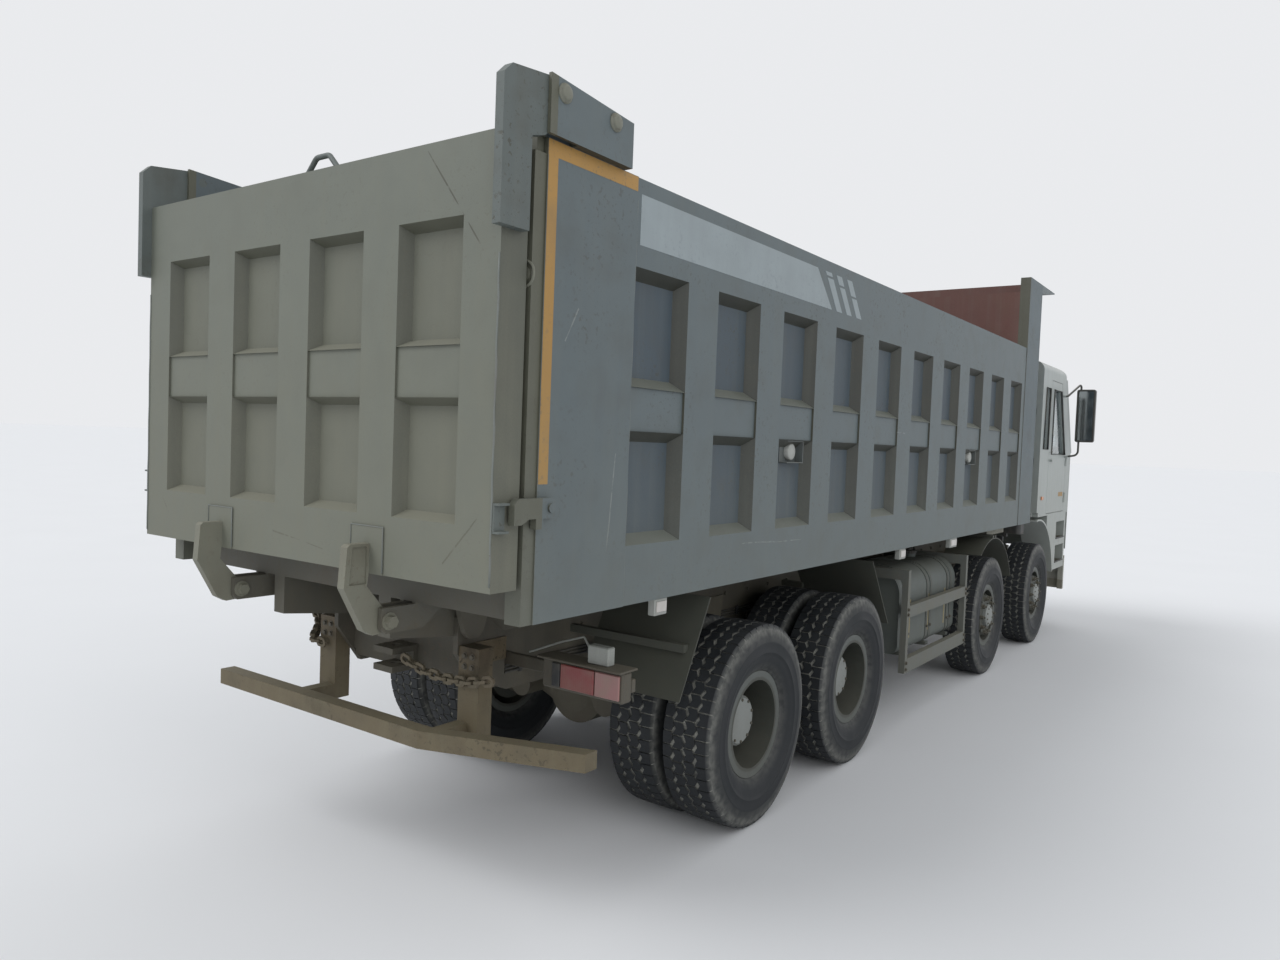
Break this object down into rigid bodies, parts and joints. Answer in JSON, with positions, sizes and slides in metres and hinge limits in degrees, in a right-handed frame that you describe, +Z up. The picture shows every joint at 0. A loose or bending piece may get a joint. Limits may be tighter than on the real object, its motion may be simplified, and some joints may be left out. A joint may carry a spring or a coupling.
{
  "type": "four-axle dump truck",
  "caption": "Four-axle dump truck with a tipping box bed, top-hinged tailgate, front telescopic hoist, tilting cab, opening doors, steered front wheels and rolling twin wheels.",
  "frame": {"origin": "on the ground, midway between the rear tips of the tailgate hooks and the front bumper, on the centreline", "axes": "+X forward, +Y to the truck's left, +Z up"},
  "size_m": [10.5, 3.08, 3.9448],
  "materials": {
    "bed_paint": "dusty slate blue-grey paint",
    "gate_dust": "grey paint under dry dust",
    "cab_paint": "pale grey-white paint",
    "frame_steel": "dusty dark chassis paint",
    "rust_steel": "rusted bare steel",
    "tyre_rubber": "dusty rubber",
    "rim_steel": "dusty grey-brown wheel paint",
    "tank_steel": "dusty grey paint",
    "black_plastic": "dark plastic",
    "lamp_plastic": "red and amber lenses",
    "glazing": "clear glass",
    "hoist_steel": "dark paint",
    "bright_steel": "bright tube",
    "seat_cloth": "dark cloth"
  },
  "bodies": {
    "chassis": {"frame_rails": "frame_steel", "crossmembers": "frame_steel", "engine": "frame_steel", "axles": "frame_steel", "leaf_springs": "frame_steel", "propshafts": "frame_steel", "tanks": "tank_steel", "side_guards": "frame_steel", "mudguards": "frame_steel", "underrun_bar": "rust_steel", "lamps": "lamp_plastic", "front_bumper": "cab_paint", "air_intake": "black_plastic", "muffler": "frame_steel", "tow_chains": "rust_steel"},
    "bed": {"bed_floor": "bed_paint", "bed_side_left": "bed_paint", "bed_side_right": "bed_paint", "bed_front_wall": "bed_paint"},
    "tailgate": {"tailgate_panel": "gate_dust", "tailgate_arms": "bed_paint", "bottom_hooks": "gate_dust"},
    "cab": {"cab_floor": "cab_paint", "cab_back": "cab_paint", "cab_sides": "cab_paint", "cab_roof": "cab_paint", "cab_front": "cab_paint", "windscreen": "glazing", "dashboard": "black_plastic", "seats": "seat_cloth"},
    "door_leaf_left": {"door_left": "cab_paint", "door_glass_left": "glazing"},
    "door_leaf_right": {"door_right": "cab_paint", "door_glass_right": "glazing"},
    "hoist_tube_0": {"hoist_cover": "hoist_steel"},
    "hoist_tube_1": {"hoist_stage_1": "bright_steel"},
    "hoist_tube_2": {"hoist_stage_2": "bright_steel"},
    "hoist_tube_3": {"hoist_stage_3": "bright_steel"},
    "hoist_tube_4": {"hoist_stage_4": "bright_steel"},
    "steer_1_left": {"knuckle_1_left": "frame_steel"},
    "steer_1_right": {"knuckle_1_right": "frame_steel"},
    "steer_2_left": {"knuckle_2_left": "frame_steel"},
    "steer_2_right": {"knuckle_2_right": "frame_steel"},
    "wheel_1_left": {"tyre_1_left": "tyre_rubber", "rim_1_left": "rim_steel"},
    "wheel_1_right": {"tyre_1_right": "tyre_rubber", "rim_1_right": "rim_steel"},
    "wheel_2_left": {"tyre_2_left": "tyre_rubber", "rim_2_left": "rim_steel"},
    "wheel_2_right": {"tyre_2_right": "tyre_rubber", "rim_2_right": "rim_steel"},
    "wheel_3_left": {"tyre_3_left": "tyre_rubber", "rim_3_left": "rim_steel"},
    "wheel_3_right": {"tyre_3_right": "tyre_rubber", "rim_3_right": "rim_steel"},
    "wheel_4_left": {"tyre_4_left": "tyre_rubber", "rim_4_left": "rim_steel"},
    "wheel_4_right": {"tyre_4_right": "tyre_rubber", "rim_4_right": "rim_steel"}
  },
  "joints": [
    {"name": "bed_tip", "type": "hinge", "parent": "chassis", "child": "bed", "pos_m": [-4.465, 0, 1.22], "axis": [0, -1, 0], "range_deg": [0, 45]},
    {"name": "tailgate_swing", "type": "hinge", "parent": "bed", "child": "tailgate", "pos_m": [-4.873, 0, 3.385], "axis": [0, 1, 0], "range_deg": [0, 60]},
    {"name": "cab_tilt", "type": "hinge", "parent": "chassis", "child": "cab", "pos_m": [5.155, 0, 0.905], "axis": [0, 1, 0], "range_deg": [0, 45]},
    {"name": "door_left_swing", "type": "hinge", "parent": "cab", "child": "door_leaf_left", "pos_m": [4.872, 1.222, 2], "axis": [0, 0, -1], "range_deg": [0, 70]},
    {"name": "door_right_swing", "type": "hinge", "parent": "cab", "child": "door_leaf_right", "pos_m": [4.872, -1.222, 2], "axis": [0, 0, 1], "range_deg": [0, 70]},
    {"name": "hoist_swing", "type": "hinge", "parent": "bed", "child": "hoist_tube_0", "pos_m": [3.305, 0, 1.43], "axis": [0, 1, 0], "range_deg": [0, 22.5]},
    {"name": "hoist_slide_1", "type": "slide", "parent": "hoist_tube_0", "child": "hoist_tube_1", "axis": [0, 0, -1], "range_m": [0, 1.479]},
    {"name": "hoist_slide_2", "type": "slide", "parent": "hoist_tube_1", "child": "hoist_tube_2", "axis": [0, 0, -1], "range_m": [0, 1.479]},
    {"name": "hoist_slide_3", "type": "slide", "parent": "hoist_tube_2", "child": "hoist_tube_3", "axis": [0, 0, -1], "range_m": [0, 1.479]},
    {"name": "hoist_slide_4", "type": "slide", "parent": "hoist_tube_3", "child": "hoist_tube_4", "axis": [0, 0, -1], "range_m": [0, 1.479]},
    {"name": "steering_1_left", "type": "hinge", "parent": "chassis", "child": "steer_1_left", "pos_m": [3.615, 0.86, 0.5625], "axis": [0, 0, 1], "range_deg": [-35, 35]},
    {"name": "steering_1_right", "type": "hinge", "parent": "chassis", "child": "steer_1_right", "pos_m": [3.615, -0.86, 0.5625], "axis": [0, 0, 1], "range_deg": [-35, 35]},
    {"name": "steering_2_left", "type": "hinge", "parent": "chassis", "child": "steer_2_left", "pos_m": [1.665, 0.86, 0.5625], "axis": [0, 0, 1], "range_deg": [-23, 23]},
    {"name": "steering_2_right", "type": "hinge", "parent": "chassis", "child": "steer_2_right", "pos_m": [1.665, -0.86, 0.5625], "axis": [0, 0, 1], "range_deg": [-23, 23]},
    {"name": "wheel_1_left_spin", "type": "hinge", "parent": "steer_1_left", "child": "wheel_1_left", "pos_m": [3.615, 0, 0.5625], "axis": [0, 1, 0], "continuous": true},
    {"name": "wheel_1_right_spin", "type": "hinge", "parent": "steer_1_right", "child": "wheel_1_right", "pos_m": [3.615, 0, 0.5625], "axis": [0, 1, 0], "continuous": true},
    {"name": "wheel_2_left_spin", "type": "hinge", "parent": "steer_2_left", "child": "wheel_2_left", "pos_m": [1.665, 0, 0.5625], "axis": [0, 1, 0], "continuous": true},
    {"name": "wheel_2_right_spin", "type": "hinge", "parent": "steer_2_right", "child": "wheel_2_right", "pos_m": [1.665, 0, 0.5625], "axis": [0, 1, 0], "continuous": true},
    {"name": "wheel_3_left_spin", "type": "hinge", "parent": "chassis", "child": "wheel_3_left", "pos_m": [-1.635, 0, 0.5625], "axis": [0, 1, 0], "continuous": true},
    {"name": "wheel_3_right_spin", "type": "hinge", "parent": "chassis", "child": "wheel_3_right", "pos_m": [-1.635, 0, 0.5625], "axis": [0, 1, 0], "continuous": true},
    {"name": "wheel_4_left_spin", "type": "hinge", "parent": "chassis", "child": "wheel_4_left", "pos_m": [-2.985, 0, 0.5625], "axis": [0, 1, 0], "continuous": true},
    {"name": "wheel_4_right_spin", "type": "hinge", "parent": "chassis", "child": "wheel_4_right", "pos_m": [-2.985, 0, 0.5625], "axis": [0, 1, 0], "continuous": true}
  ],
  "couplings": [
    {"joint": "hoist_swing", "follows": "bed_tip", "ratio": 0.5},
    {"joint": "hoist_slide_1", "follows": "bed_tip", "m_per_rad": 1.8827},
    {"joint": "hoist_slide_2", "follows": "bed_tip", "m_per_rad": 1.8827},
    {"joint": "hoist_slide_3", "follows": "bed_tip", "m_per_rad": 1.8827},
    {"joint": "hoist_slide_4", "follows": "bed_tip", "m_per_rad": 1.8827},
    {"joint": "steering_1_right", "follows": "steering_1_left", "ratio": 1},
    {"joint": "steering_2_left", "follows": "steering_1_left", "ratio": 0.65},
    {"joint": "steering_2_right", "follows": "steering_1_left", "ratio": 0.65}
  ]
}
